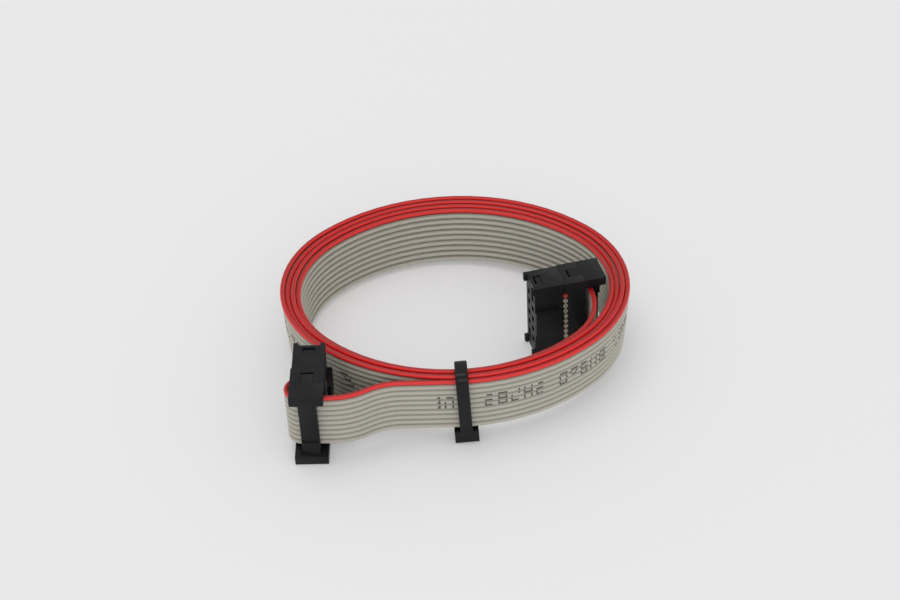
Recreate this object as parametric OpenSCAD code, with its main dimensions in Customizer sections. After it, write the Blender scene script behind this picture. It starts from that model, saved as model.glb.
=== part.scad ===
// Ten-way ribbon cable with a 2 x 5 socket on each end, wound into a loop and held by a cable tie.
// Millimetres, +Z up. The ribbon stands on its edge, with the wires numbered from the top one down.

/* [Ribbon] */
// Distance from one wire to the next
wire_pitch = 1.27; // [1.2:0.01:1.6]
// Outside diameter of the insulation of one wire
wire_d = 0.9; // [0.7:0.05:1.1]
// Thickness of the web that joins two wires
web_t = 0.3; // [0.2:0.05:0.4]
// Diameter of the stranded copper conductor
conductor_d = 0.38; // [0.25:0.01:0.5]

/* [Loop] */
// Number of turns in the loop
turns = 4; // [2:2:6]
// Bend radius of the outer turn at the front and at the rear
front_r = 38; // [30:0.1:50]
// Bend radius of the outer turn at the two sides
side_r = 24.8; // [20:0.1:40]
// Gap between the turns at the cable tie
front_gap = 0.05; // [0.02:0.01:0.3]
// How far every second pass rises at the tie, so that its wires lie between its neighbours' wires
nest = 0.6; // [0.5:0.01:0.63]
// Gap between the turns at the rear
rear_gap = 0.54; // [0.1:0.01:1]
// Angle by which the wall of the loop opens upwards
flare = 4.5; // [0:0.1:6]
// Angle by which the front of the loop is raised
raise_front = 2.67; // [0:0.01:5]
// Angle by which the right side of the loop is raised
raise_right = 1.83; // [0:0.01:4]

/* [Leads] */
// Radius of the fold of the ribbon over a socket's cover
fold_r = 2.65; // [2.3:0.05:3.2]
// Straight run under the strain relief of socket A, from the fold
relief_run_a = 5.8; // [5:0.1:9]
// Radius of the two bends that bring the ribbon of socket A to the loop
sway_r = 12; // [9:0.1:20]
// Angle of each of those two bends
sway_angle = 32.1; // [15:0.1:45]
// Straight run along the front of the loop
front_run = 9.8; // [8:0.1:20]
// Radius of the first bend of the inner lead, beside the loop
inner_r = 33.2; // [20:0.1:40]
// Angle of that first bend
inner_angle = 45; // [20:1:60]
// Radius of the second bend of the inner lead, into socket B
entry_r = 14; // [9:0.1:20]
// Angle of that second bend
entry_angle = 59.5; // [30:0.5:80]
// Straight run under the strain relief of socket B, to the fold
relief_run_b = 4; // [3:0.1:9]

/* [Socket] */
// Length of the housing past the last wire, at each end
end_margin = 2.935; // [2.6:0.005:4]
// Width of the housing across its two rows
housing_w = 6; // [5.6:0.1:8]
// Width of the cover and of the strain relief
cover_w = 6.36; // [6:0.02:8.4]
// Depth of the housing, from the ribbon to the mating face
housing_d = 6.9; // [6.4:0.1:9]
// Depth of the cover behind the ribbon
cover_d = 3.95; // [3.6:0.05:4.3]
// Depth of the strain relief behind the cover
relief_d = 4.3; // [3.8:0.1:6]
// Width of the strap of the strain relief
strap_w = 3.4; // [2.4:0.1:4.4]
// Thickness of the strap of the strain relief
strap_t = 1.3; // [0.8:0.1:1.6]
// Distance between the two rows of contacts
row_gap = 2.54; // [2.3:0.01:3]
// Side of a pin's opening in the mating face
pin_hole = 0.95; // [0.8:0.05:1.1]
// Side of the square pin that a contact grips
pin_w = 0.64; // [0.5:0.01:0.7]
// Width of the polarising key
key_w = 5.6; // [3.5:0.1:7]
// Height of the polarising key
key_h = 0.9; // [0.5:0.1:1.5]
// Thickness of a contact
contact_t = 0.3; // [0.2:0.05:0.4]
// Width of a contact's wire fork
fork_w = 1.1; // [1:0.01:1.14]
// Gap left round the ribbon in a socket
ribbon_clearance = 0.05; // [0.02:0.01:0.15]
// Gap left between two moulded pieces that snap together
snap_clearance = 0.06; // [0.02:0.01:0.15]

/* [Cable tie] */
// Distance of the tie past the middle of the loop's front
tie_offset = 2; // [0:0.1:6]
// Width of the tie's strap
tie_w = 2.4; // [1.8:0.1:4]
// Thickness of the tie's strap
tie_t = 1; // [0.7:0.1:1.6]
// Gap between the strap and the bundle
tie_gap = 0.12; // [0.05:0.01:0.4]
// Angle by which the tie leans across the ribbon
tie_roll = 2.4; // [0:0.1:3]
// Width of the tie's head
head_w = 4.6; // [3.6:0.1:6]
// Depth of the tie's head, from front to back
head_d = 4.4; // [3.6:0.1:6]
// Height of the tie's head
head_h = 2.8; // [2:0.1:2.9]

/* [Hidden] */
$fn = 48;
wires = 10;

function two(i) = str(i < 10 ? "0" : "", i);
function wire_name(i) = str("wire_", two(i));
function conductor_name(i) = str("conductor_", two(i));
function contact_name(s, i) = str("socket_", s, "_contact_", two(i));

// Colours
grey_pvc = [0.66, 0.64, 0.59];
red_pvc = [0.72, 0.2, 0.18];
copper = [0.78, 0.55, 0.38];
black_plastic = [0.13, 0.13, 0.14];
brass = [0.8, 0.72, 0.5];

// Heights along the ribbon's width, measured from its middle
function wire_z(i) = ((wires + 1) / 2 - i) * wire_pitch;
ribbon_top = wire_z(1) + wire_d / 2;

// Each wire of the loop lies a little further out than the one below it, by the flare. The rear wall
// leans back by as much again as the front wall is kept upright, so the sockets and the front stand plumb.
function upright_shift(i) = wire_z(i) * tan(raise_front);
function flare_shift(i) = wire_z(i) * tan(flare);

// Spacing of the turns
// Nested wires keep clear of their neighbours' wires and of the webs between them
front_pitch = max(sqrt(wire_d * wire_d - nest * nest), (wire_d + web_t) / 2) + front_gap;
rear_pitch = wire_d + rear_gap;
mean_pitch = (front_pitch + rear_pitch) / 2;
pitch_swing = (rear_pitch - front_pitch) / 2;

// A turn of the loop is four arcs, which meet at its corners. Arc j counts inwards along the wire from the
// front one that starts at the cable tie.
function swing_sum(j) = j == 0 ? 0 : swing_sum(j - 1) + sin(90 * j - 135);
function loop_r(j) = (j % 2 == 0 ? front_r : side_r) - mean_pitch * j / 4 + pitch_swing / 2 * swing_sum(j);

// The ribbon's route seen from above. A step is [turn angle, radius, length, pass]. Left turns are positive.
// A pass runs from the rear of the loop round its front to the rear again, so the rear arcs are cut in half.
fold_inset = 1.74;
fold_x = cover_w / 2 - fold_inset;
crimp_run = cover_w / 2 + fold_x;
function run(length) = [0, 0, length, 0];
function bend(angle, r) = [angle, r, 0, 0];
function is_half(j) = j % 4 == 2 || j == 0 || j == 4 * turns;
function loop_arc(j, part, out) = [is_half(j) ? 45 : 90, loop_r(j) + out, 0, floor((j + 1 + part) / 4)];
function route(out, slip) = concat(
  [run(crimp_run), bend(180, fold_r), run(relief_run_a)],
  [bend(sway_angle, sway_r), bend(-sway_angle, sway_r), run(front_run)],
  [for (j = [0:4 * turns]) for (part = j % 4 == 2 ? [0, 1] : [0]) loop_arc(j, part, out)],
  [bend(inner_angle, inner_r), bend(entry_angle, entry_r)],
  [run(relief_run_b + slip), bend(180, fold_r), run(crimp_run)]
);

// A pose on the route is [x, y, heading]
function step_end(p, s) =
  s[0] == 0
    ? [p[0] + s[2] * cos(p[2]), p[1] + s[2] * sin(p[2]), p[2]]
    : let (side = sign(s[0]), h = p[2] + s[0])
      [
        p[0] + side * s[1] * (sin(h) - sin(p[2])),
        p[1] - side * s[1] * (cos(h) - cos(p[2])),
        h
      ];
function part_of(s, share) = [s[0] * share, s[1], s[2] * share, s[3]];
function poses(start, steps) =
  [for (k = 0, p = start; k <= len(steps); p = k < len(steps) ? step_end(p, steps[k]) : p, k = k + 1) p];

start_heading = 180;
entry_heading = inner_angle + entry_angle;
function wire_start(i) = [0, -upright_shift(i), start_heading];
function wire_route(i) = route(flare_shift(i), upright_shift(i) * sin(entry_heading));
middle_poses = poses([0, 0, start_heading], route(0, 0));

// Every second pass rises at the front. Each of its wires turns about a line across its own rear.
tie_index = 6;
steps_per_turn = 5;
function rises(pass) = pass % 2 == 1 && pass < turns;
function rear_y(at, turn) = at[tie_index + steps_per_turn * turn + 3][1];
function hinge_y(at, pass) = (rear_y(at, pass - 1) + rear_y(at, pass)) / 2;
function rise_angle(at, pass) =
  rises(pass) ? asin(nest / (hinge_y(at, pass) - at[tie_index][1] - pass * front_pitch)) : 0;

// A socket's frame: its origin is the middle of the crimped ribbon, and +Y is its mating direction
function socket_origin(p, along) = [p[0] + along * cos(p[2]), p[1] + along * sin(p[2]), 0];
first_pose = middle_poses[0];
last_pose = middle_poses[len(middle_poses) - 1];
origin_a = socket_origin(first_pose, cover_w / 2);
origin_b = socket_origin(last_pose, -cover_w / 2);
mating_a = first_pose[2] - 90;
mating_b = last_pose[2] - 90;
function socket_lean(mating) = atan(tan(raise_front) * sin(mating));

// The loop's attitude: raised at the front and at the right, then set down with its lowest point on z = 0
function tilted(v) =
  let (
    y = v[1] * cos(raise_front) + v[2] * sin(raise_front),
    z = v[2] * cos(raise_front) - v[1] * sin(raise_front)
  )
  [v[0] * cos(raise_right) - z * sin(raise_right), y, z * cos(raise_right) + v[0] * sin(raise_right)];
function points_on(start, steps, z) =
  let (p = poses(start, steps))
  [
    for (k = [0:len(steps) - 1])
      for (t = [0, 0.25, 0.5, 0.75])
        let (
          q = step_end(p[k], part_of(steps[k], t)),
          angle = rise_angle(p, steps[k][3]),
          rise = angle == 0 ? 0 : (hinge_y(p, steps[k][3]) - q[1]) * sin(angle)
        )
        tilted([q[0], q[1], z + rise])
  ];
socket_half = wire_z(1) + end_margin;
function socket_corner(o, mating, x, y, z) =
  let (
    lean = socket_lean(mating),
    turn = mating - 90,
    ly = y * cos(lean) - z * sin(lean),
    lz = y * sin(lean) + z * cos(lean)
  )
  tilted([o[0] + x * cos(turn) - ly * sin(turn), o[1] + x * sin(turn) + ly * cos(turn), lz]);
function socket_corners(o, mating) = [
  for (x = [-cover_w / 2, cover_w / 2])
    for (y = [-cover_d - relief_d, housing_d])
      for (z = [-socket_half, socket_half])
        socket_corner(o, mating, x, y, z)
];
bottom_points = points_on(wire_start(wires), wire_route(wires), wire_z(wires));
top_points = points_on(wire_start(1), wire_route(1), wire_z(1));
corner_points = concat(socket_corners(origin_a, mating_a), socket_corners(origin_b, mating_b));
function axis_of(points, k) = [for (p = points) p[k]];
foot_z = min(concat([for (p = bottom_points) p[2] - wire_d / 2], axis_of(corner_points, 2)));
low_x = min(concat([for (p = top_points) p[0] - wire_d / 2], axis_of(corner_points, 0)));
high_x = max(concat([for (p = top_points) p[0] + wire_d / 2], axis_of(corner_points, 0)));
low_y = min(concat([for (p = top_points) p[1] - wire_d / 2], axis_of(corner_points, 1)));
high_y = max(concat([for (p = top_points) p[1] + wire_d / 2], axis_of(corner_points, 1)));

module placed() {
  translate([-(low_x + high_x) / 2, -(low_y + high_y) / 2, -foot_z])
    rotate([0, -raise_right, 0])
      rotate([-raise_front, 0, 0])
        children();
}

// Places a piece in a socket's frame. The second socket is the same part turned over.
module in_socket(s) {
  origin = s == "a" ? origin_a : origin_b;
  mating = s == "a" ? mating_a : mating_b;
  translate(origin)
    rotate([0, 0, mating - 90])
      rotate([socket_lean(mating), 0, 0])
        rotate([0, s == "a" ? 0 : 180, 0])
          children();
}

// Wires

// Sweeps a flat profile, with its middle on the route and its top up, along one step of the route
module swept_step(p, s) {
  if (s[0] == 0) {
    translate([p[0], p[1], 0])
      rotate([90, 0, p[2] + 90])
        linear_extrude(s[2])
          children();
  } else {
    left = s[0] > 0;
    out = p[2] + (left ? -90 : 90);
    translate([p[0] - s[1] * cos(out), p[1] - s[1] * sin(out), 0])
      rotate([0, 0, left ? out : out + s[0]])
        rotate_extrude(angle = abs(s[0]))
          translate([s[1], 0])
            children();
  }
}

// Two steps of a route stop just short of each other in a short sleeve, a hair larger than the wire
sleeve_l = 0.2;
sleeve_skin = 0.015;
step_gap = 0.02;
function step_length(s) = s[0] == 0 ? s[2] : abs(s[0]) * PI / 180 * s[1];

module risen(at, pass) {
  if (rises(pass))
    translate([0, hinge_y(at, pass), 0])
      rotate([-rise_angle(at, pass), 0, 0])
        translate([0, -hinge_y(at, pass), 0])
          children();
  else
    children();
}

// Children: the profile of the wire, then that of the sleeve
module swept_wire(i) {
  steps = wire_route(i);
  at = poses(wire_start(i), steps);
  last = len(steps) - 1;
  translate([0, 0, wire_z(i)]) {
    for (k = [0:last]) {
      share = step_gap / step_length(steps[k]);
      before = k == 0 ? 0 : share;
      after = k == last ? 0 : share;
      risen(at, steps[k][3])
        swept_step(step_end(at[k], part_of(steps[k], before)), part_of(steps[k], 1 - before - after))
          children(0);
    }
    for (k = [1:last])
      risen(at, steps[k][3])
        translate([at[k][0], at[k][1], 0])
          rotate([90, 0, at[k][2] + 90])
            linear_extrude(sleeve_l, center = true)
              children(1);
  }
}

strand_clearance = 0.02;

module wire_profile(i, skin) {
  below = i < wires ? wire_pitch / 2 : 0;
  above = i > 1 ? wire_pitch / 2 : 0;
  difference() {
    union() {
      circle(d = wire_d + 2 * skin);
      translate([-web_t / 2 - skin, -below])
        square([web_t + 2 * skin, below + above]);
    }
    circle(d = conductor_d + 2 * strand_clearance + 2 * skin);
  }
}

// The cut that a contact's fork makes in the insulation
cut_gap = 0.01;
module fork_cut(i) {
  translate([contact_x(i), 0, wire_z(i)])
    cube([contact_t + 2 * cut_gap, 3 * wire_d, fork_w + 2 * cut_gap], center = true);
}

module wire(i) {
  color(i == 1 ? red_pvc : grey_pvc)
    placed()
      difference() {
        swept_wire(i) {
          wire_profile(i, 0);
          wire_profile(i, sleeve_skin);
        }
        in_socket("a")
          fork_cut(i);
        in_socket("b")
          fork_cut(wires + 1 - i);
      }
}

module conductor(i) {
  color(copper)
    placed()
      swept_wire(i) {
        circle(d = conductor_d);
        circle(d = conductor_d + 2 * sleeve_skin);
      }
}

// Sockets

// Odd wires go to one row of contacts and even wires to the other
function contact_x(i) = (i % 2 == 1 ? -1 : 1) * row_gap / 2;
// A pin stands half a pitch from the two wires beside it
function pin_z(i) = wire_z(i) + (i % 2 == 1 ? -1 : 1) * wire_pitch / 2;

// What is joined overlaps by a hair
bite = 0.01;

edge_clearance = 0.15;
channel_half = ribbon_top + edge_clearance;
web_face = web_t / 2 + ribbon_clearance;
groove_d = wire_d + 2 * ribbon_clearance;
contact_clearance = 0.12;
fork_clearance = 0.05;
tine_w = 0.5;
cavity_z = pin_w + 2 * tine_w + 2 * contact_clearance;
cavity_x = contact_t + 2 * contact_clearance;
prong_l = wire_d / 2 + 0.7;
neck_y = web_face + 0.9;
cavity_wall = 0.6;
face_wall = 1.3;
lead_in = 1.35;
lead_in_depth = 0.35;
ear_h = 0.7;
ear_w = 0.9;
ear_l = 1.6;
key_d = 5.2;
arm_w = 2.3;
arm_t = 0.7;
end_wall = 0.55;
arm_z = socket_half - end_wall - arm_t;
window_y = housing_d - 2.9;
window_l = 1.5;
hook_h = 0.35;
hook_play = 0.3;
hook_l = window_l - 2 * snap_clearance - hook_play;
hook_end = window_y + window_l - snap_clearance - hook_play;

module wire_grooves() {
  for (i = [1:wires])
    translate([-cover_w, 0, wire_z(i)])
      rotate([0, 90, 0])
        cylinder(d = groove_d, h = 2 * cover_w);
}

module housing_body() {
  difference() {
    translate([-housing_w / 2, 0, -socket_half])
      cube([housing_w, housing_d - ear_h, 2 * socket_half]);
    translate([-housing_w, -1, -channel_half])
      cube([2 * housing_w, 1 + web_face, 2 * channel_half]);
    wire_grooves();
  }
}

module housing_ears() {
  for (x = [-1, 1])
    for (z = [-1, 1])
      translate([x * (housing_w - ear_w) / 2, housing_d - ear_h / 2 - bite, z * (socket_half - ear_l / 2)])
        cube([ear_w, ear_h + 2 * bite, ear_l], center = true);
}

module key() {
  translate([housing_w / 2 - bite, housing_d - ear_h - key_d, -key_w / 2])
    cube([key_h + bite, key_d, key_w]);
}

module contact_cavity(i) {
  back = web_face + cavity_wall;
  front = housing_d - ear_h - face_wall;
  translate([contact_x(i) - cavity_x / 2, back, pin_z(i) - cavity_z / 2])
    cube([cavity_x, front - back, cavity_z]);
  translate([contact_x(i), housing_d - ear_h, pin_z(i)]) {
    translate([0, -face_wall / 2, 0])
      cube([pin_hole, face_wall + 0.2, pin_hole], center = true);
    cube([lead_in, 2 * lead_in_depth, lead_in], center = true);
  }
  translate([contact_x(i) - cavity_x / 2, 0, wire_z(i) - fork_w / 2 - fork_clearance])
    cube([cavity_x, neck_y + contact_clearance, fork_w + 2 * fork_clearance]);
}

module latch_channel() {
  for (z = [0, 1])
    mirror([0, 0, z]) {
      translate([-arm_w / 2 - snap_clearance, -bite, arm_z - snap_clearance])
        cube([arm_w + 2 * snap_clearance, window_y + window_l + bite, arm_t + 2 * snap_clearance]);
      translate([-arm_w / 2 - snap_clearance, window_y, arm_z - snap_clearance])
        cube([arm_w + 2 * snap_clearance, window_l, socket_half]);
    }
}

module housing() {
  difference() {
    union() {
      housing_body();
      housing_ears();
      key();
    }
    for (i = [1:wires])
      contact_cavity(i);
    latch_channel();
  }
}

// The cover's bar lies inside the fold, so its edge follows the fold's inside
module cover_bar() {
  bar_r = fold_r - wire_d / 2 - ribbon_clearance;
  fold_at = -fold_x;
  translate([0, 0, -channel_half])
    linear_extrude(2 * channel_half)
      union() {
        translate([fold_at, -cover_d])
          square([cover_w / 2 - fold_at, cover_d - web_face]);
        intersection() {
          translate([fold_at, -fold_r])
            circle(r = bar_r);
          translate([fold_at - bar_r, -cover_d])
            square([bar_r + bite, cover_d - web_face]);
        }
      }
}

// The strain relief's tabs lie in a groove in each end of the cover
tab_groove = 0.75;
tab_stop = 1.2;
tab_play = 0.3;

module cover_ends() {
  groove_w = arm_w + 2 * snap_clearance;
  for (z = [0, 1])
    mirror([0, 0, z])
      difference() {
        translate([-cover_w / 2, -cover_d, channel_half])
          cube([cover_w, cover_d, socket_half - channel_half]);
        translate([-groove_w / 2, -cover_d - 1, socket_half - tab_groove])
          cube([groove_w, 1 + cover_d - tab_stop, 1]);
      }
}

module cover_arms() {
  for (z = [0, 1])
    mirror([0, 0, z]) {
      translate([-arm_w / 2, -bite, arm_z])
        cube([arm_w, hook_end + bite, arm_t]);
      translate([-arm_w / 2, hook_end - hook_l, arm_z + arm_t - bite])
        cube([arm_w, hook_l, hook_h + bite]);
    }
}

module fork_pocket(i) {
  pocket_l = prong_l + contact_clearance;
  translate([contact_x(i) - cavity_x / 2, -pocket_l, wire_z(i) - fork_w / 2 - fork_clearance])
    cube([cavity_x, pocket_l, fork_w + 2 * fork_clearance]);
}

module cover() {
  difference() {
    union() {
      difference() {
        cover_bar();
        wire_grooves();
      }
      cover_ends();
      cover_arms();
    }
    for (i = [1:wires])
      fork_pocket(i);
  }
}

relief_back = cover_d + relief_d;
// The ribbon crosses the strain relief level, though the socket leans, so the relief is wider inside
relief_half = channel_half + relief_back * sin(raise_front);

module relief_block() {
  translate([-cover_w / 2, -relief_back, relief_half])
    cube([cover_w, relief_d, socket_half - relief_half]);
}

module relief_tab() {
  depth = tab_groove - snap_clearance;
  translate([-arm_w / 2, -cover_d - bite, socket_half - depth])
    cube([arm_w, cover_d - tab_stop - snap_clearance - tab_play + bite, depth]);
}

// The strap crosses behind the ribbon, and stands a step higher beside the end blocks
module relief_strap() {
  inner = 2 * fold_r + wire_d / 2 + ribbon_clearance;
  pad_l = 3;
  pad_h = 0.35;
  translate([-strap_w / 2, -inner - strap_t, -relief_half - bite])
    cube([strap_w, strap_t, 2 * relief_half + 2 * bite]);
  for (z = [0, 1])
    mirror([0, 0, z])
      translate([-strap_w / 2, -inner - strap_t - pad_h, relief_half - pad_l])
        cube([strap_w, strap_t, pad_l + bite]);
}

module relief() {
  for (z = [0, 1])
    mirror([0, 0, z]) {
      relief_block();
      relief_tab();
    }
  relief_strap();
}

// A contact is a flat fork: two prongs straddle the conductor, and two tines grip a pin
module contact(i) {
  jog = pin_z(i) - wire_z(i);
  slot = conductor_d + 2 * strand_clearance;
  flank = 0.12;
  half_fork = fork_w / 2;
  grip = pin_w / 2 + tine_w;
  tip_y = housing_d - ear_h - face_wall - contact_clearance;
  throat_y = neck_y + 0.7;
  translate([contact_x(i) + contact_t / 2, 0, wire_z(i)])
    rotate([0, -90, 0])
      linear_extrude(contact_t)
        polygon([
          [-half_fork, neck_y],
          [-half_fork, -prong_l],
          [-slot / 2 - flank, -prong_l],
          [-slot / 2, -slot],
          [-slot / 2, slot / 2],
          [slot / 2, slot / 2],
          [slot / 2, -slot],
          [slot / 2 + flank, -prong_l],
          [half_fork, -prong_l],
          [half_fork, neck_y],
          [jog + grip, neck_y],
          [jog + grip, tip_y],
          [jog + pin_w / 2, tip_y],
          [jog + pin_w / 2, throat_y],
          [jog - pin_w / 2, throat_y],
          [jog - pin_w / 2, tip_y],
          [jog - grip, tip_y],
          [jog - grip, neck_y]
        ]);
}

module socket_housing(s) {
  color(black_plastic)
    placed()
      in_socket(s)
        housing();
}

module socket_cover(s) {
  color(black_plastic)
    placed()
      in_socket(s)
        cover();
}

module socket_relief(s) {
  color(black_plastic)
    placed()
      in_socket(s)
        relief();
}

// The contact on wire i. Socket B is turned over, so its contacts count from the other end.
module socket_contact(s, i) {
  color(brass)
    placed()
      in_socket(s)
        contact(s == "a" ? i : wires + 1 - i);
}

// Cable tie

bundle_t = wire_d + turns * front_pitch;
// The tie stands upright round passes that lie level, so its loop hangs a little below them
tie_drop = bundle_t * sin(raise_front);
tie_r = 1.2;
tie_inner_r = 0.4;
head_lip = 0.1;
slot_gap = 0.15;
slot_depth = 0.6;

module rounded_rect(size, r) {
  translate([r, 0])
    square([size[0] - 2 * r, size[1]]);
  translate([0, r])
    square([size[0], size[1] - 2 * r]);
  for (x = [r, size[0] - r])
    for (y = [r, size[1] - r])
      translate([x, y])
        circle(r = r);
}

module tie_loop() {
  inner = [bundle_t + 2 * tie_gap, 2 * ribbon_top + nest + 2 * tie_gap + tie_drop];
  outer = [inner[0] + 2 * tie_t, inner[1] + 2 * tie_t];
  translate([0, -wire_d / 2 - tie_gap - tie_t, -ribbon_top - tie_gap - tie_drop - tie_t])
    rotate([90, 0, 90])
      linear_extrude(tie_w, center = true)
        difference() {
          rounded_rect(outer, tie_r + tie_t / 2);
          translate([tie_t, tie_t])
            rounded_rect(inner, tie_inner_r);
        }
}

// The head lies under the turns, and the slot in its underside is where the end of the strap was cut off
module tie_head() {
  front = -wire_d / 2 - tie_gap - tie_t - head_lip;
  top = -ribbon_top - tie_gap - tie_drop - bite;
  translate([0, front, top - head_h])
    difference() {
      translate([-head_w / 2, 0, 0])
        cube([head_w, head_d, head_h]);
      translate([-tie_w / 2 - slot_gap, head_d / 2 - tie_t / 2 - slot_gap, -1])
        cube([tie_w + 2 * slot_gap, tie_t + 2 * slot_gap, 1 + slot_depth]);
    }
}

module cable_tie() {
  at = step_end(middle_poses[tie_index], bend(tie_offset / front_r * 180 / PI, front_r));
  color(black_plastic)
    placed()
      translate([at[0], at[1], 0])
        rotate([raise_front, -tie_roll, at[2]]) {
          tie_loop();
          tie_head();
        }
}

for (i = [1:wires])
  wire(i);
for (i = [1:wires])
  conductor(i);
socket_housing("a");  // socket_a_housing
socket_cover("a");  // socket_a_cover
socket_relief("a");  // socket_a_relief
for (i = [1:wires])
  socket_contact("a", i);
socket_housing("b");  // socket_b_housing
socket_cover("b");  // socket_b_cover
socket_relief("b");  // socket_b_relief
for (i = [1:wires])
  socket_contact("b", i);
cable_tie();
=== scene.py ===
"""A flat ten-wire ribbon cable with a socket on each end, wound on its edge into a loop in a cable tie."""
import math

import bmesh
import bpy
import numpy as np
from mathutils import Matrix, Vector


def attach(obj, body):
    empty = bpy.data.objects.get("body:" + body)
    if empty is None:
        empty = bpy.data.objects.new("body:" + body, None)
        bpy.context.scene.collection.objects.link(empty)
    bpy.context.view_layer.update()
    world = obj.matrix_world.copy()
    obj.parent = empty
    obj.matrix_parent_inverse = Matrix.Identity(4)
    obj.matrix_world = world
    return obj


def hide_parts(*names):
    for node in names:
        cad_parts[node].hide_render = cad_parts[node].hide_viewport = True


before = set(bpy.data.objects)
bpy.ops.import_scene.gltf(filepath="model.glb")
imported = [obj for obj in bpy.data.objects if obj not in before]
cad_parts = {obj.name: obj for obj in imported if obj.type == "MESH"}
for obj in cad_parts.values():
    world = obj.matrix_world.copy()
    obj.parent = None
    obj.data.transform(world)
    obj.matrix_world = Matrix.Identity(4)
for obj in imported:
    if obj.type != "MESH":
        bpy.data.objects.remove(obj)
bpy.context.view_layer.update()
MM = 0.001

# ---------------------------------------------------------------- the ribbon's route, in millimetres

WIRES = 10
WIRE_PITCH, WIRE_D, WEB_T, BORE_D = 1.27, 0.9, 0.3, 0.42
TURNS, FRONT_R, SIDE_R = 4, 38, 24.8
FRONT_GAP, REAR_GAP, NEST = 0.05, 0.54, 0.6
FRONT_PITCH, REAR_PITCH = math.sqrt(WIRE_D ** 2 - NEST ** 2) + FRONT_GAP, WIRE_D + REAR_GAP
FLARE, RAISE_FRONT, RAISE_RIGHT = np.radians([4.5, 2.67, 1.83])
FOLD_R, RELIEF_RUN_A, SWAY_R, SWAY_ANGLE, FRONT_RUN = 2.65, 5.8, 12, 32.1, 9.8
INNER_R, INNER_ANGLE, ENTRY_R, ENTRY_ANGLE, RELIEF_RUN_B = 33.2, 45, 14, 59.5, 4
COVER_W, COVER_D, RELIEF_D, HOUSING_D, END_MARGIN, FOLD_INSET = 6.36, 3.95, 4.3, 6.9, 2.935, 1.74
CRIMP_RUN = COVER_W - FOLD_INSET
TIE_STEP, STEPS_PER_TURN = 6, 5
TIE_OFFSET, TIE_W, TIE_T, TIE_GAP, TIE_ROLL, BITE = 2.0, 2.4, 1.0, 0.12, math.radians(2.4), 0.01
HEAD_W, HEAD_D, HEAD_H, HEAD_LIP, HEAD_INSET = 4.6, 4.4, 2.8, 0.1, 0.3
STRAP_R, STRAP_POINTS, STRAP_POWER, CUT_R, CUT_LAP = 1.35, 28, 0.3, 0.6, 0.9
ARC_STEP = 5.0


def wire_z(i):
    """Height of wire i's centre over the ribbon's middle. Wire 1 is the top one."""
    return ((WIRES + 1) / 2 - i) * WIRE_PITCH


def loop_radii():
    """The arcs' radii, inwards along the wire. Each arc shrinks by a quarter of the turns' mean spacing, and
    swings by a part of the difference between the spacings at the front and the rear."""
    j = np.arange(4 * TURNS + 1)
    swing = np.cumsum(np.where(j > 0, np.sin(np.radians(90 * j - 135)), 0))
    mean, difference = (FRONT_PITCH + REAR_PITCH) / 2, REAR_PITCH - FRONT_PITCH
    return np.where(j % 2 == 0, FRONT_R, SIDE_R) - mean / 4 * j + difference / 4 * swing


def route(out=0.0, slip=0.0):
    """The route as steps (turn angle, radius, length, pass), with the arcs of the loop wider by out.
    A pass runs from the rear of the loop round its front to the rear again, so the rear arcs are halved."""
    lead = [(0, 0, CRIMP_RUN, 0), (180, FOLD_R, 0, 0), (0, 0, RELIEF_RUN_A, 0)]
    lead += [(SWAY_ANGLE, SWAY_R, 0, 0), (-SWAY_ANGLE, SWAY_R, 0, 0), (0, 0, FRONT_RUN, 0)]
    loop = []
    for j, r in enumerate(loop_radii()):
        for part in (0, 1) if j % 4 == 2 else (0,):
            half = j % 4 == 2 or j in (0, 4 * TURNS)
            loop.append((45 if half else 90, r + out, 0, (j + 1 + part) // 4))
    tail = [(INNER_ANGLE, INNER_R, 0, 0), (ENTRY_ANGLE, ENTRY_R, 0, 0)]
    tail += [(0, 0, RELIEF_RUN_B + slip, 0), (180, FOLD_R, 0, 0), (0, 0, CRIMP_RUN, 0)]
    return lead + loop + tail


def wire_route(i):
    """Start and steps of wire i. The start shifts by the front wall's tilt, and the arcs grow by the flare."""
    upright = wire_z(i) * math.tan(RAISE_FRONT)
    slip = upright * math.sin(math.radians(INNER_ANGLE + ENTRY_ANGLE))
    return (0.0, -upright), route(wire_z(i) * math.tan(FLARE), slip)


def step_ends(start, steps):
    """Where each step starts, as (x, y, heading, distance run), and where the last one ends."""
    x, y, h, run = start[0], start[1], math.pi, 0.0
    rows = [(x, y, h, run)]
    for angle, r, length, _ in steps:
        if angle == 0:
            x, y, run = x + length * math.cos(h), y + length * math.sin(h), run + length
        else:
            side, g = math.copysign(1, angle), h + math.radians(angle)
            x, y = x + side * r * (math.sin(g) - math.sin(h)), y - side * r * (math.cos(g) - math.cos(h))
            h, run = g, run + abs(math.radians(angle)) * r
        rows.append((x, y, h, run))
    return np.array(rows)


def rises(start, steps):
    """For each step, the line across the wire's rear that its pass turns about, and the angle of that turn.
    Every second pass rises by NEST at the front, so that its wires lie between its neighbours' wires."""
    y = step_ends(start, steps)[:, 1]
    rows = np.zeros((len(steps), 2))
    for k, step in enumerate(steps):
        if step[3] % 2 == 1 and step[3] < TURNS:
            rear = TIE_STEP + STEPS_PER_TURN * step[3] + 3
            hinge = (y[rear - STEPS_PER_TURN] + y[rear]) / 2
            rows[k] = hinge, math.asin(NEST / (hinge - y[TIE_STEP] - step[3] * FRONT_PITCH))
    return rows


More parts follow.
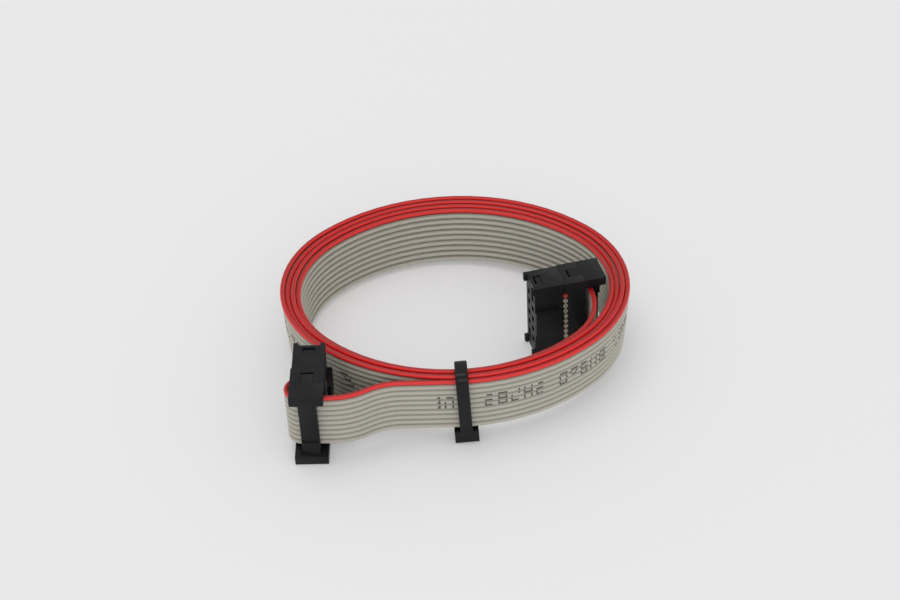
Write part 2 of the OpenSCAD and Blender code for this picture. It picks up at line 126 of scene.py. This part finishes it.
def traced(start, steps, arc_step=ARC_STEP):
    """Points (x, y, heading in radians, distance run, hinge, rise angle) along the steps. A straight adds its
    end, and an arc adds a point each arc_step degrees, at centre + r (sin h, -cos h) for a left turn."""
    ends, turns = step_ends(start, steps), rises(start, steps)
    rows = [np.array([[*ends[0], 0.0, 0.0]])]
    for (angle, r, _, _), (x, y, h, run), end, turn in zip(steps, ends, ends[1:], turns):
        if angle == 0:
            rows.append(np.array([[*end, *turn]]))
            continue
        side = math.copysign(1, angle)
        count = max(4, round(abs(angle) / arc_step))
        g = h + np.radians(angle) * np.arange(1, count + 1) / count
        px = x + side * r * (np.sin(g) - math.sin(h))
        py = y - side * r * (np.cos(g) - math.cos(h))
        rise = np.broadcast_to(turn[:, None], (2, count))
        rows.append(np.stack([px, py, g, run + np.abs(g - h) * r, *rise], 1))
    return np.concatenate(rows)


def tilted(v):
    """The loop's attitude: raised at the front about X, then at the right about Y."""
    v = np.asarray(v, float)
    y = v[:, 1] * math.cos(RAISE_FRONT) + v[:, 2] * math.sin(RAISE_FRONT)
    z = v[:, 2] * math.cos(RAISE_FRONT) - v[:, 1] * math.sin(RAISE_FRONT)
    x = v[:, 0] * math.cos(RAISE_RIGHT) - z * math.sin(RAISE_RIGHT)
    return np.stack([x, y, z * math.cos(RAISE_RIGHT) + v[:, 0] * math.sin(RAISE_RIGHT)], 1)


def socket_corners(origin, mating):
    """The eight corners of a socket's block, turned to its mating direction and leaning with the wall."""
    lean = math.atan(math.tan(RAISE_FRONT) * math.sin(mating))
    half = wire_z(1) + END_MARGIN
    rows = []
    for x in (-COVER_W / 2, COVER_W / 2):
        for y in (-COVER_D - RELIEF_D, HOUSING_D):
            for z in (-half, half):
                ly, lz = y * math.cos(lean) - z * math.sin(lean), y * math.sin(lean) + z * math.cos(lean)
                turn = mating - math.pi / 2
                rows.append([origin[0] + x * math.cos(turn) - ly * math.sin(turn),
                             origin[1] + x * math.sin(turn) + ly * math.cos(turn), lz])
    return tilted(rows)


def quarter_points(i):
    """The start of each step of wire i, and the points a quarter, a half and three quarters along it."""
    start, steps = wire_route(i)
    quarters = [(a * 0.25, r, length * 0.25, turn) for a, r, length, turn in steps for _ in range(4)]
    at = step_ends(start, quarters)[:-1, :2]
    hinge, angle = np.repeat(rises(start, steps), 4, 0).T
    return np.column_stack([at, wire_z(i) + (hinge - at[:, 1]) * np.sin(angle)])


def set_down():
    """The shift that centres the tilted cable on X and Y and brings its lowest point to Z = 0."""
    top, bottom = tilted(quarter_points(1)), tilted(quarter_points(WIRES))
    middle = step_ends((0.0, 0.0), route())
    blocks = []
    for row, along in ((middle[0], COVER_W / 2), (middle[-1], -COVER_W / 2)):
        origin = row[:2] + along * np.array([math.cos(row[2]), math.sin(row[2])])
        blocks.append(socket_corners(origin, row[2] - math.pi / 2))
    blocks = np.concatenate(blocks)
    low = np.minimum(top.min(0) - WIRE_D / 2, blocks.min(0))
    high = np.maximum(top.max(0) + WIRE_D / 2, blocks.max(0))
    foot = min(bottom[:, 2].min() - WIRE_D / 2, blocks[:, 2].min())
    return np.array([-(low[0] + high[0]) / 2, -(low[1] + high[1]) / 2, -foot])


SHIFT = set_down()


def placed(v):
    """From the flat route's millimetres to the frame's metres."""
    return (tilted(v) + SHIFT) * MM


# ---------------------------------------------------------------- camera

def make_camera():
    """Looks down at 42 degrees along +Y, from 400 mm."""
    elevation, distance, target = math.radians(42), 0.4, Vector((-0.00093, 0.004, 0.0092))
    data = bpy.data.cameras.new("camera")
    data.lens, data.sensor_width = 80.36, 36
    data.clip_start = 0.01
    camera = bpy.data.objects.new("camera", data)
    back = Vector((0, -math.cos(elevation), math.sin(elevation)))
    camera.location = target + back * distance
    camera.rotation_mode = "QUATERNION"
    camera.rotation_quaternion = (-back).to_track_quat("-Z", "Y")
    bpy.context.scene.collection.objects.link(camera)
    bpy.context.scene.camera = camera


make_camera()

# ---------------------------------------------------------------- shader parts


def value_sockets(tree, **inputs):
    for name, default in inputs.items():
        kind = "NodeSocketColor" if isinstance(default, tuple) and len(default) == 4 else \
            "NodeSocketVector" if isinstance(default, tuple) else "NodeSocketFloat"
        socket = tree.interface.new_socket(name.replace("_", " "), in_out="INPUT", socket_type=kind)
        socket.default_value = default


def feed(tree, socket, value):
    """Sets a socket to a value, or links another socket to it."""
    if isinstance(value, bpy.types.NodeSocket):
        tree.links.new(value, socket)
    elif value is not None:
        socket.default_value = value


def calc(tree, operation, *values, clamp=False):
    node = tree.nodes.new("ShaderNodeMath")
    node.operation, node.use_clamp = operation, clamp
    for socket, value in zip(node.inputs, values):
        feed(tree, socket, value)
    return node.outputs[0]


def blend_colour(tree, factor, a, b, mode="MIX"):
    node = tree.nodes.new("ShaderNodeMix")
    node.data_type, node.blend_type = "RGBA", mode
    feed(tree, node.inputs["Factor"], factor)
    feed(tree, node.inputs["A"], a)
    feed(tree, node.inputs["B"], b)
    return node.outputs["Result"]


def ramp(tree, value, low, high, out_low=0.0, out_high=1.0, smooth=True):
    """Maps value from low..high to out_low..out_high, clamped."""
    node = tree.nodes.new("ShaderNodeMapRange")
    node.interpolation_type = "SMOOTHSTEP" if smooth else "LINEAR"
    for socket, v in zip(node.inputs, (value, low, high, out_low, out_high)):
        feed(tree, socket, v)
    return node.outputs["Result"]


def noise(tree, vector, scale, detail=2.0, roughness=0.5):
    node = tree.nodes.new("ShaderNodeTexNoise")
    feed(tree, node.inputs["Vector"], vector)
    feed(tree, node.inputs["Scale"], scale)
    node.inputs["Detail"].default_value = detail
    node.inputs["Roughness"].default_value = roughness
    return node.outputs["Fac"]


def make_group(name, build, outputs, **inputs):
    tree = bpy.data.node_groups.new(name, "ShaderNodeTree")
    value_sockets(tree, **inputs)
    for out, kind in outputs.items():
        tree.interface.new_socket(out, in_out="OUTPUT", socket_type=kind)
    entry, leave = tree.nodes.new("NodeGroupInput"), tree.nodes.new("NodeGroupOutput")
    for out, socket in build(tree, entry.outputs).items():
        tree.links.new(socket, leave.inputs[out])
    return tree


def tinted(tree, e):
    """Colour that drifts by Amount up and down, in patches and in fine specks."""
    wide = noise(tree, e["Vector"], e["Scale"], 3.0)
    fine = noise(tree, e["Vector"], calc(tree, "MULTIPLY", e["Scale"], 9.0), 2.0)
    both = calc(tree, "ADD", calc(tree, "MULTIPLY", wide, 0.65), calc(tree, "MULTIPLY", fine, 0.35))
    gain = calc(tree, "ADD", 1.0, calc(tree, "MULTIPLY", calc(tree, "SUBTRACT", both, 0.5),
                                       calc(tree, "MULTIPLY", e["Amount"], 4.0)))
    scaled = tree.nodes.new("ShaderNodeVectorMath")
    scaled.operation = "SCALE"
    tree.links.new(e["Color"], scaled.inputs[0])
    tree.links.new(gain, scaled.inputs["Scale"])
    return {"Color": scaled.outputs[0], "Value": both}


def grained(tree, e):
    """A fine moulded grain: its height, and a roughness that follows it."""
    grain = noise(tree, e["Vector"], e["Scale"], 3.0, 0.6)
    patches = noise(tree, e["Vector"], calc(tree, "MULTIPLY", e["Scale"], 0.08), 2.0)
    swing = calc(tree, "MULTIPLY", calc(tree, "SUBTRACT", patches, 0.5), e["Spread"])
    rough = calc(tree, "ADD", e["Roughness"], swing)
    return {"Height": grain, "Roughness": rough}


TINT = make_group("tint", tinted, {"Color": "NodeSocketColor", "Value": "NodeSocketFloat"},
                  Color=(0.5, 0.5, 0.5, 1.0), Vector=(0.0, 0.0, 0.0), Scale=100.0, Amount=0.05)
GRAIN = make_group("grain", grained, {"Height": "NodeSocketFloat", "Roughness": "NodeSocketFloat"},
                   Vector=(0.0, 0.0, 0.0), Scale=3000.0, Roughness=0.4, Spread=0.15)


def use_group(tree, group, **values):
    node = tree.nodes.new("ShaderNodeGroup")
    node.node_tree = group
    for name, value in values.items():
        feed(tree, node.inputs[name], value)
    return node.outputs


def bump(tree, height, distance, strength=1.0, normal=None):
    node = tree.nodes.new("ShaderNodeBump")
    node.inputs["Strength"].default_value = strength
    node.inputs["Distance"].default_value = distance
    feed(tree, node.inputs["Height"], height)
    feed(tree, node.inputs["Normal"], normal)
    return node.outputs["Normal"]


def new_material(name):
    material = bpy.data.materials.new(name)
    material.use_nodes = True
    tree = material.node_tree
    coords = tree.nodes.new("ShaderNodeTexCoord").outputs["Object"]
    return material, tree, tree.nodes["Principled BSDF"].inputs, coords


def stretched(tree, vector, scale):
    node = tree.nodes.new("ShaderNodeMapping")
    node.inputs["Scale"].default_value = scale
    tree.links.new(vector, node.inputs["Vector"])
    return node.outputs["Vector"]


# ---------------------------------------------------------------- materials

# The second grey below is painted shade, laid into the grooves between the wires where shade falls.
GREY, GROOVE_SHADE = (0.475, 0.455, 0.385, 1.0), (0.3, 0.285, 0.235, 1.0)
# The second red below is painted shade: a shaded copy of the red, laid into the red wire's grooves.
RED, RED_GROOVE_SHADE = (0.75, 0.023, 0.021, 1.0), (0.36, 0.011, 0.011, 1.0)
INK = (0.02, 0.02, 0.024, 1.0)
DOT, CELL_COLUMNS, GLYPH_ROWS = 0.36, 7, 7
PRINT_START, PRINT_LOW, PRINT_BLOCK, PRINT_SHARE = 39.0, -0.9, 112.0, 0.58


def print_mask(tree, along, across):
    """Dot-matrix marks in the manner of a seven-segment display. A cell of five dots by seven and two blank
    columns repeats along the ribbon, and white noise of the cell and the segment switches each segment."""
    x = calc(tree, "DIVIDE", along, DOT)
    y = calc(tree, "DIVIDE", calc(tree, "SUBTRACT", across, PRINT_LOW), DOT * 1.2)
    cell = calc(tree, "FLOOR", calc(tree, "DIVIDE", x, float(CELL_COLUMNS)))
    column = calc(tree, "FLOOR", calc(tree, "MODULO", x, float(CELL_COLUMNS)))
    row = calc(tree, "FLOOR", y)
    upper = calc(tree, "GREATER_THAN", row, 3.5)
    on_bar = calc(tree, "LESS_THAN", calc(tree, "MODULO", row, 3.0), 0.5)
    at_left, at_right = calc(tree, "LESS_THAN", column, 0.5), calc(tree, "COMPARE", column, 4.0, 0.4)
    at_side = calc(tree, "ADD", at_left, at_right)
    inner = calc(tree, "SUBTRACT", calc(tree, "LESS_THAN", column, 4.5), at_side)
    bar_part = calc(tree, "MULTIPLY", inner, on_bar)
    number = calc(tree, "ADD", calc(tree, "MULTIPLY", bar_part, calc(tree, "ADD", row, 1.0)),
                  calc(tree, "MULTIPLY", at_side, calc(tree, "ADD", calc(tree, "MULTIPLY", at_right, 7.0),
                                                       calc(tree, "ADD", upper, 20.0))))
    pair = tree.nodes.new("ShaderNodeCombineXYZ")
    feed(tree, pair.inputs[0], cell)
    feed(tree, pair.inputs[1], number)
    chance = tree.nodes.new("ShaderNodeTexWhiteNoise")
    tree.links.new(pair.outputs[0], chance.inputs["Vector"])
    lit = calc(tree, "GREATER_THAN", chance.outputs["Value"], 0.3)
    used = calc(tree, "ADD", bar_part, at_side, clamp=True)
    below_top = calc(tree, "LESS_THAN", row, GLYPH_ROWS - 0.5)
    inside = calc(tree, "MULTIPLY", calc(tree, "GREATER_THAN", row, -0.5), below_top)
    u, v = (calc(tree, "SUBTRACT", calc(tree, "FRACT", q), 0.5) for q in (x, y))
    spread = calc(tree, "SQRT", calc(tree, "ADD", calc(tree, "MULTIPLY", u, u), calc(tree, "MULTIPLY", v, v)))
    dot = ramp(tree, spread, 0.5, 0.64, 1.0, 0.0)
    spaces = calc(tree, "GREATER_THAN", calc(tree, "MODULO", cell, 6.0), 0.5)
    place = calc(tree, "DIVIDE", calc(tree, "SUBTRACT", along, PRINT_START), PRINT_BLOCK)
    block = calc(tree, "LESS_THAN", calc(tree, "FRACT", place), PRINT_SHARE)
    mask = dot
    for part in (lit, used, inside, spaces, block):
        mask = calc(tree, "MULTIPLY", mask, part)
    return mask


def pvc(name, colour, groove_shade, printed):
    """Extruded PVC: satin, with faint streaks along the wire, painted shade in the grooves between the wires,
    and print on the outer face. The ribbon attribute holds the run along the wire, the height across the
    ribbon and the signed distance out from its middle."""
    material, tree, shader, coords = new_material(name)
    attribute = tree.nodes.new("ShaderNodeAttribute")
    attribute.attribute_name = "ribbon"
    split = tree.nodes.new("ShaderNodeSeparateXYZ")
    tree.links.new(attribute.outputs["Vector"], split.inputs[0])
    along, across, side = split.outputs
    streaks = noise(tree, stretched(tree, attribute.outputs["Vector"], (0.035, 6.0, 3.0)), 1.0, 3.0, 0.6)
    # Painted shade: the groove colour is laid where the wire's surface sinks into a groove, and inside the
    # bore, and the base colour only on the crest.
    crest = ramp(tree, calc(tree, "ABSOLUTE", side), 0.16, 0.36)
    base = blend_colour(tree, crest, groove_shade, colour)
    tint = use_group(tree, TINT, Color=base, Vector=coords, Scale=160.0, Amount=0.035)
    grain = use_group(tree, GRAIN, Vector=coords, Scale=2600.0, Roughness=0.42, Spread=0.16)
    shade = ramp(tree, streaks, 0.25, 0.75, 0.93, 1.04, smooth=False)
    scaled = tree.nodes.new("ShaderNodeVectorMath")
    scaled.operation = "SCALE"
    tree.links.new(tint["Color"], scaled.inputs[0])
    tree.links.new(shade, scaled.inputs["Scale"])
    result = scaled.outputs[0]
    rough = calc(tree, "ADD", grain["Roughness"], calc(tree, "MULTIPLY", streaks, 0.08))
    if printed:
        worn = ramp(tree, noise(tree, coords, 1500.0, 2.0), 0.26, 0.38)
        on_crest = ramp(tree, side, 0.16, 0.28)
        mask = calc(tree, "MULTIPLY", print_mask(tree, along, across), calc(tree, "MULTIPLY", on_crest, worn))
        result = blend_colour(tree, calc(tree, "MULTIPLY", mask, 0.92), result, INK)
    feed(tree, shader["Base Color"], result)
    feed(tree, shader["Roughness"], rough)
    fine = calc(tree, "MULTIPLY", grain["Height"], 0.4)
    height = calc(tree, "ADD", calc(tree, "MULTIPLY", streaks, 0.6), fine)
    feed(tree, shader["Normal"], bump(tree, height, 0.03 * MM, 0.5))
    shader["Specular IOR Level"].default_value = 0.45
    shader["Subsurface Weight"].default_value = 0.06
    shader["Subsurface Radius"].default_value = (0.0006, 0.0004, 0.0003)
    return material


def moulded(name, colour, rough, scale, depth, gloss, spread=0.2):
    """Black moulded plastic with a fine grain and paler rubbed patches."""
    material, tree, shader, coords = new_material(name)
    tint = use_group(tree, TINT, Color=colour, Vector=coords, Scale=400.0, Amount=0.12)
    grain = use_group(tree, GRAIN, Vector=coords, Scale=scale, Roughness=rough, Spread=spread)
    rub = ramp(tree, noise(tree, coords, 700.0, 4.0, 0.65), 0.6, 0.78, 0.0, 0.3)
    feed(tree, shader["Base Color"], blend_colour(tree, rub, tint["Color"], (0.022, 0.022, 0.023, 1.0)))
    feed(tree, shader["Roughness"], grain["Roughness"])
    feed(tree, shader["Normal"], bump(tree, grain["Height"], depth * MM, 0.6))
    shader["Specular IOR Level"].default_value = gloss
    return material


def metal(name, colour, rough, scale):
    """Drawn or stamped metal with faint lines and tarnish."""
    material, tree, shader, coords = new_material(name)
    tint = use_group(tree, TINT, Color=colour, Vector=coords, Scale=scale, Amount=0.1)
    lines = stretched(tree, coords, (1.0, 1.0, 0.1))
    grain = use_group(tree, GRAIN, Vector=lines, Scale=scale * 8, Roughness=rough, Spread=0.25)
    feed(tree, shader["Base Color"], tint["Color"])
    feed(tree, shader["Roughness"], grain["Roughness"])
    feed(tree, shader["Normal"], bump(tree, grain["Height"], 0.01 * MM, 0.4))
    shader["Metallic"].default_value = 1.0
    return material


GREY_PVC = pvc("grey_pvc", GREY, GROOVE_SHADE, True)
RED_PVC = pvc("red_pvc", RED, RED_GROOVE_SHADE, False)
COPPER = metal("copper", (0.82, 0.45, 0.28, 1.0), 0.3, 900.0)
CONTACT_METAL = metal("contact_metal", (0.8, 0.66, 0.4, 1.0), 0.25, 600.0)
SOCKET_PLASTIC = moulded("socket_plastic", (0.0085, 0.0088, 0.0102, 1.0), 0.42, 3500.0, 0.02, 0.16)
TIE_NYLON = moulded("tie_nylon", (0.003, 0.0032, 0.0038, 1.0), 0.22, 1800.0, 0.05, 0.24)

# ---------------------------------------------------------------- wires


def swept(path, profile):
    """The profile's points (outwards, up) carried along the path: place + outwards * n, where n is the
    heading's right-hand side, then turned by the rise angle about the hinge. Returns rings by points by 3, in
    the flat route's millimetres."""
    normal = np.stack([np.sin(path[:, 2]), -np.cos(path[:, 2])], 1)
    flat = path[:, None, :2] + profile[None, :, :1] * normal[:, None, :]
    height = np.broadcast_to(profile[None, :, 1], flat.shape[:2])
    hinge, angle = path[:, 4:5], path[:, 5:6]
    away = flat[:, :, 1] - hinge
    return np.stack([flat[:, :, 0], hinge + away * np.cos(angle) + height * np.sin(angle),
                     height * np.cos(angle) - away * np.sin(angle)], 2)


def wire_profile(i, count=15):
    """Outline of wire i about its centre. The half thickness at height v is the circle's, eased into the
    web's where a neighbour follows: ((r^2 - v^2)^2 + w^4)^(1/4). The end wires' free side is round."""
    r, web = WIRE_D / 2, WEB_T / 2
    low = -WIRE_PITCH / 2 if i < WIRES else -r
    high = WIRE_PITCH / 2 if i > 1 else r
    v = low + (high - low) * (0.5 - 0.5 * np.cos(np.pi * np.arange(count) / (count - 1)))
    circle = np.maximum(r * r - v * v, 0)
    free = (v < 0) & (i == WIRES) | (v > 0) & (i == 1)
    half = np.where(free, np.sqrt(circle), (circle ** 2 + web ** 4) ** 0.25)
    right, left = np.stack([half, v], 1), np.stack([-half, v], 1)[::-1]
    if i == 1:
        left = left[1:]
    if i == WIRES:
        left = left[:-1]
    return np.concatenate([right, left])


def ring_faces(count, points, caps, first=0):
    """Quads between rings in order. caps "ends" closes both ends with a face, and "loop" joins the last ring
    to the first."""
    ring = np.arange(count if caps == "loop" else count - 1)[:, None] * points
    k = np.arange(points)
    follows = (k + 1) % points
    ahead = (ring + points) % (count * points)
    quads = np.stack([ring + k, ring + follows, ahead + follows, ahead + k], 2).reshape(-1, 4)
    faces = (quads + first).tolist()
    if caps == "ends":
        faces += [(k[::-1] + first).tolist(), (k + (count - 1) * points + first).tolist()]
    return faces


def smooth_mesh(name, verts, faces):
    mesh = bpy.data.meshes.new(name)
    mesh.from_pydata(placed(verts).tolist(), [], faces)
    mesh.shade_smooth()
    mesh.set_sharp_from_angle(angle=math.radians(50))
    return mesh


def rings_mesh(name, rings, caps):
    return smooth_mesh(name, rings.reshape(-1, 3), ring_faces(*rings.shape[:2], caps))


def add_piece(name, mesh, material, slot, *nodes):
    piece = bpy.data.objects.new(name, mesh)
    mesh.materials.clear()
    mesh.materials.append(material)
    bpy.context.scene.collection.objects.link(piece)
    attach(piece, "root")
    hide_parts(*nodes)
    return piece


def make_wire(i):
    """One wire's insulation: a tube along the whole route, whose rings run out along the outside, in at the
    far end and back along the bore, so that it closes on itself."""
    start, steps = wire_route(i)
    path = traced(start, steps)
    outline = wire_profile(i)
    angle = np.arctan2(outline[:, 1], outline[:, 0])
    bore = BORE_D / 2 * np.stack([np.cos(angle), np.sin(angle)], 1)
    lift = np.array([0, 0, wire_z(i)])
    outside, inside = swept(path, outline) + lift, swept(path, bore) + lift
    name = f"ribbon_wire_{i:02d}"
    mesh = rings_mesh(name, np.concatenate([outside, inside[::-1]]), "loop")
    run = np.broadcast_to(path[:, 3:4], outside.shape[:2])
    height = np.broadcast_to(outline[:, 1] + wire_z(i), run.shape)
    side = np.broadcast_to(outline[:, 0], run.shape)
    facts = np.stack([run, height, side], 2)
    facts = np.concatenate([facts, facts[::-1] * (1, 1, 0)]).astype(np.float32)
    mesh.attributes.new("ribbon", "FLOAT_VECTOR", "POINT").data.foreach_set("vector", facts.ravel())
    material, slot = (RED_PVC, "red_pvc") if i == 1 else (GREY_PVC, "grey_pvc")
    piece = add_piece(name, mesh, material, slot, f"wire_{i:02d}")


def make_conductor(i):
    """The strand bundle in a wire's bore, a round rod that ends flush with the insulation."""
    start, steps = wire_route(i)
    turn = 2 * np.pi * np.arange(10) / 10
    rod = (BORE_D / 2 - 0.02) * np.stack([np.cos(turn), np.sin(turn)], 1)
    rings = swept(traced(start, steps, 8.0), rod) + np.array([0, 0, wire_z(i)])
    name = f"strands_{i:02d}"
    add_piece(name, rings_mesh(name, rings, "ends"), COPPER, "copper", f"conductor_{i:02d}")


for number in range(1, WIRES + 1):
    make_wire(number)
    make_conductor(number)

# ---------------------------------------------------------------- sockets and tie


def soften(piece, edge):
    rounded = piece.modifiers.new("edges", "BEVEL")
    rounded.width, rounded.segments, rounded.limit_method = edge * MM, 2, "ANGLE"
    rounded.angle_limit, rounded.harden_normals = math.radians(40), True


def finished(node, material, slot, edge):
    """A copy of a moulded CAD piece with its triangles joined, its flat faces whole and its edges rounded."""
    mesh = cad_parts[node].data.copy()
    work = bmesh.new()
    work.from_mesh(mesh)
    bmesh.ops.remove_doubles(work, verts=work.verts, dist=1e-6)
    bmesh.ops.dissolve_limit(work, angle_limit=math.radians(1), verts=work.verts, edges=work.edges)
    work.to_mesh(mesh)
    work.free()
    mesh.shade_smooth()
    soften(add_piece(node + "_moulding", mesh, material, slot, node), edge)


def tie_place():
    """Where the tie stands on the first turn: x, y and heading, TIE_OFFSET past the middle of the front."""
    x, y, h, _ = step_ends((0.0, 0.0), route())[TIE_STEP]
    g = h + TIE_OFFSET / FRONT_R
    return x + FRONT_R * (math.sin(g) - math.sin(h)), y - FRONT_R * (math.cos(g) - math.cos(h)), g


def stood_up(v):
    """From the tie's own axes, X across the strap, Y inwards and Z up, to the flat route's."""
    x, y, h = tie_place()
    cos, sin = math.cos(RAISE_FRONT), math.sin(RAISE_FRONT)
    v = np.stack([v[:, 0], v[:, 1] * cos - v[:, 2] * sin, v[:, 1] * sin + v[:, 2] * cos], 1)
    cos, sin = math.cos(TIE_ROLL), -math.sin(TIE_ROLL)
    v = np.stack([v[:, 0] * cos + v[:, 2] * sin, v[:, 1], v[:, 2] * cos - v[:, 0] * sin], 1)
    cos, sin = math.cos(h), math.sin(h)
    return np.stack([v[:, 0] * cos - v[:, 1] * sin + x, v[:, 0] * sin + v[:, 1] * cos + y, v[:, 2]], 1)


def strap_rings(path, half_width):
    """Rings of a strap with soft edges: across = b sgn(sin a) |sin a|^p and out = t/2 sgn(cos a) |cos a|^p,
    with half width b. The path's rows are the place and the outward direction, both in (y, z)."""
    a = 2 * np.pi * (np.arange(STRAP_POINTS) + 0.5) / STRAP_POINTS
    out = TIE_T / 2 * np.sign(np.cos(a)) * np.abs(np.cos(a)) ** STRAP_POWER
    across = np.sign(np.sin(a)) * np.abs(np.sin(a)) ** STRAP_POWER
    place = path[:, None, :2] + path[:, None, 2:] * out[None, :, None]
    return np.concatenate([(half_width[:, None] * across)[:, :, None], place], 2)


def make_tie():
    """The strap bent to a loop with round corners, its cut end lying on the head, and the head."""
    top = wire_z(1) + WIRE_D / 2
    bundle = WIRE_D + TURNS * FRONT_PITCH
    drop = bundle * math.sin(RAISE_FRONT)
    reach = TIE_GAP + TIE_T / 2
    front, rear = -WIRE_D / 2 - reach, bundle - WIRE_D / 2 + reach
    low, high = -top - drop - reach, top + NEST + reach
    right, left, up, down = rear - STRAP_R, front + STRAP_R, high - STRAP_R, low + STRAP_R
    rows = []
    for y, z, facing in ((left, up, 180), (right, up, 90), (right, down, 0), (left, down, -90)):
        a = np.radians(facing - np.linspace(0, 90, 10))
        rows.append(np.stack([y + STRAP_R * np.cos(a), z + STRAP_R * np.sin(a), np.cos(a), np.sin(a)], 1))
    loop = np.concatenate(rows)
    head_top = -top - TIE_GAP - drop - BITE
    up_from_end = np.array([0.0, 0.04, 0.12, 0.25, 0.42, CUT_R, 1.0, 2.2])
    flat = np.ones(len(up_from_end))
    cut = np.stack([flat * (front - 0.01), head_top - CUT_LAP + up_from_end, -flat, 0 * flat], 1)
    cut_half = TIE_W / 2 - CUT_R + np.sqrt(CUT_R ** 2 - (CUT_R - np.minimum(up_from_end, CUT_R)) ** 2)
    strap, cut_end = strap_rings(loop, np.full(len(loop), TIE_W / 2)), strap_rings(cut, cut_half)
    face = front - TIE_T / 2 + HEAD_INSET
    back = face - HEAD_INSET - HEAD_LIP + HEAD_D
    block = [(x, y, z) for x in (-HEAD_W / 2, HEAD_W / 2) for y in (face, back)
             for z in (head_top - HEAD_H, head_top)]
    verts = np.concatenate([strap.reshape(-1, 3), cut_end.reshape(-1, 3), block])
    sides = np.array([(0, 1, 3, 2), (4, 6, 7, 5), (0, 4, 5, 1), (2, 3, 7, 6), (0, 2, 6, 4), (1, 5, 7, 3)])
    faces = ring_faces(*strap.shape[:2], "loop")
    faces += ring_faces(*cut_end.shape[:2], "ends", len(loop) * STRAP_POINTS)
    faces += (sides + len(verts) - len(block)).tolist()
    mesh = smooth_mesh("tie", stood_up(verts), faces)
    soften(add_piece("tie", mesh, TIE_NYLON, "tie_nylon", "cable_tie"), 0.15)


for side in "ab":
    for part in ("housing", "cover", "relief"):
        finished(f"socket_{side}_{part}", SOCKET_PLASTIC, "socket_plastic", 0.07)
    for number in range(1, WIRES + 1):
        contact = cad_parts[f"socket_{side}_contact_{number:02d}"]
        contact.data.materials.clear()
        contact.data.materials.append(CONTACT_METAL)
make_tie()

# ---------------------------------------------------------------- floor and light


def make_floor():
    mesh = bpy.data.meshes.new("floor")
    mesh.from_pydata([(-3, -3, 0), (3, -3, 0), (3, 3, 0), (-3, 3, 0)], [], [(0, 1, 2, 3)])
    floor = bpy.data.objects.new("floor", mesh)
    bpy.context.scene.collection.objects.link(floor)
    material, tree, shader, coords = new_material("paper")
    tint = use_group(tree, TINT, Color=(0.6, 0.597, 0.603, 1.0), Vector=coords, Scale=3.0, Amount=0.004)
    feed(tree, shader["Base Color"], tint["Color"])
    shader["Emission Color"].default_value = (1.0, 0.995, 1.0, 1.0)
    shader["Emission Strength"].default_value = 0.22
    shader["Roughness"].default_value = 0.75
    shader["Specular IOR Level"].default_value = 0.2
    mesh.materials.append(material)


def make_light(name, place, aim, size, power):
    data = bpy.data.lights.new(name, "AREA")
    data.shape, data.size, data.energy = "DISK", size, power
    lamp = bpy.data.objects.new(name, data)
    lamp.location = place
    lamp.rotation_mode = "QUATERNION"
    lamp.rotation_quaternion = (Vector(aim) - Vector(place)).to_track_quat("-Z", "Y")
    bpy.context.scene.collection.objects.link(lamp)


def make_world(strength):
    world = bpy.data.worlds.new("studio")
    bpy.context.scene.world = world
    world.use_nodes = True
    background = world.node_tree.nodes["Background"].inputs
    background["Color"].default_value = (1.0, 1.0, 1.0, 1.0)
    background["Strength"].default_value = strength


make_floor()
make_world(0.8)
make_light("softbox", (-0.2, 0.1, 0.9), (0, 0, 0), 0.5, 1.3)
make_light("fill", (0.1, -0.8, 0.5), (0, 0, 0), 0.6, 1.0)
bpy.context.scene.view_settings.view_transform = "Standard"
